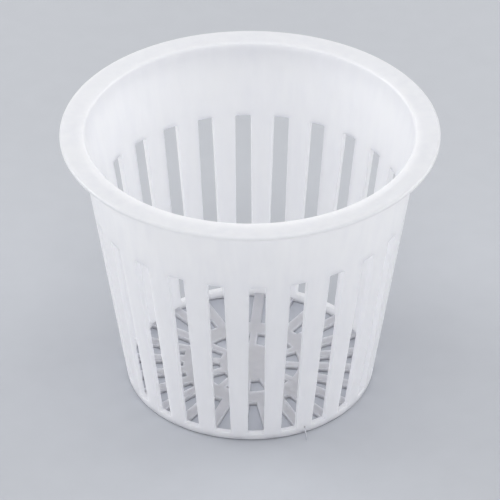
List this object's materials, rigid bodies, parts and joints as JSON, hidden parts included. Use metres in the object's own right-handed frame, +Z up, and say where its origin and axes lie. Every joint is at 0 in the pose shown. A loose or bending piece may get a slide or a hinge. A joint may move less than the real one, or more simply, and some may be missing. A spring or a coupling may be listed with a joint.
{
  "type": "hydroponic net pot",
  "caption": "Tapered plant pot with a flat rim, upright root slots right round its wall and an open floor of ribs, spokes and a ring, moulded whole in white translucent plastic.",
  "frame": {"origin": "centre of the underside of the floor, on the pot's axis", "axes": "+Z up the pot's axis, from the floor to the mouth; the centre of one wall slot lies on +X"},
  "size_m": [0.075, 0.075, 0.058],
  "materials": {
    "white_polypropylene": "translucent white, satin as moulded"
  },
  "bodies": {
    "root": {"net_pot": "white_polypropylene"}
  },
  "joints": []
}
